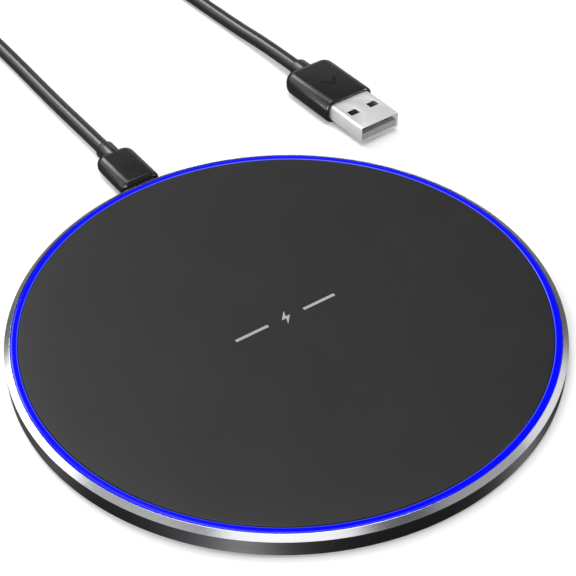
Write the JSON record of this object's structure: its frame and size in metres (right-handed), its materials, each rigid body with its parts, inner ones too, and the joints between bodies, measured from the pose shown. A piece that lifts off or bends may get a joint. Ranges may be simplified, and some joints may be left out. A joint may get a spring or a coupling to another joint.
{
  "type": "wireless charging pad",
  "caption": "Round, thin wireless charging pad with a lit blue ring in a chamfered metal rim, and a pull-out micro-USB to USB-A lead.",
  "frame": {"origin": "centre of the pad on the surface that its foot stands on", "axes": "+Z up out of the charging surface, +Y out of the lead's socket at the back, +X to the right seen from above with +Y up"},
  "size_m": [0.128, 0.2881, 0.0097],
  "materials": {
    "rim_aluminium": "turned, brushed dark side wall with a bright polished chamfer",
    "lit_ring": "blue-lit clear acrylic light guide, polished",
    "soft_touch_black": "fine matt soft-touch lacquer",
    "mark_ink": "grey pad-printed ink, satin",
    "base_plastic": "fine moulded texture",
    "foot_silicone": "matt silicone",
    "screw_steel": "bright zinc plated",
    "label_film": "blank silver satin film",
    "white_film": "white reflector film",
    "foam": "closed-cell foam tape",
    "ferrite": "sintered ferrite, dull",
    "enamelled_copper": "enamelled copper wire",
    "solder": "bright tin",
    "bead_glass": "glass bead",
    "board_green": "solder mask over fibreglass",
    "lamp_white": "moulded lamp housing",
    "lamp_clear": "clear lamp window",
    "chip_black": "moulded epoxy",
    "ceramic_tan": "fired ceramic",
    "nickel_steel": "nickel-plated steel, lightly brushed",
    "insert_black": "moulded nylon",
    "tongue_grey": "moulded grey nylon",
    "gold_plate": "gold flash",
    "inner_mould": "natural polyethylene",
    "plug_mark": "matt black paint",
    "plug_black": "satin thermoplastic elastomer",
    "cord_black": "satin flexible jacket",
    "tie_black": "flat twist tie"
  },
  "bodies": {
    "pad": {"rim_frame": "rim_aluminium", "light_ring": "lit_ring", "top_cover": "soft_touch_black", "charge_mark": "mark_ink", "base_cover": "base_plastic", "foot_ring": "foot_silicone", "case_screws": "screw_steel", "rating_label": "label_film", "reflector_strip": "white_film", "foam_pad": "foam", "ferrite_sheet": "ferrite", "coil_winding": "enamelled_copper", "coil_leads": "enamelled_copper", "solder_joints": "solder", "thermistor": "bead_glass", "thermistor_leads": "enamelled_copper", "main_board": "board_green", "lamps": "lamp_white", "lamp_windows": "lamp_clear", "controller_chip": "chip_black", "driver_chips": "chip_black", "driver_legs": "solder", "resonance_capacitors": "ceramic_tan", "input_capacitors": "ceramic_tan", "resistors": "chip_black", "chip_ends": "solder", "power_inductor": "ferrite", "clock_crystal": "nickel_steel", "port_shell": "nickel_steel", "port_tongue": "insert_black", "port_contacts": "gold_plate"},
    "lead": {"cable_pad_run": "cord_black", "cable_coil": "cord_black", "cable_plug_run": "cord_black", "cable_tie": "tie_black", "micro_shell": "nickel_steel", "micro_insert": "insert_black", "micro_contacts": "gold_plate", "micro_latches": "nickel_steel", "micro_inner_mould": "inner_mould", "micro_mark": "plug_mark", "micro_overmould": "plug_black", "micro_relief": "plug_black", "plug_a_shell": "nickel_steel", "plug_a_tongue": "tongue_grey", "plug_a_contacts": "gold_plate", "plug_a_inner_mould": "inner_mould", "plug_a_mark": "plug_mark", "plug_a_overmould": "plug_black", "plug_a_relief": "plug_black"}
  },
  "joints": [
    {"name": "plug_release", "type": "slide", "parent": "pad", "child": "lead", "axis": [0, 1, 0], "range_m": [0, 0.012]}
  ]
}
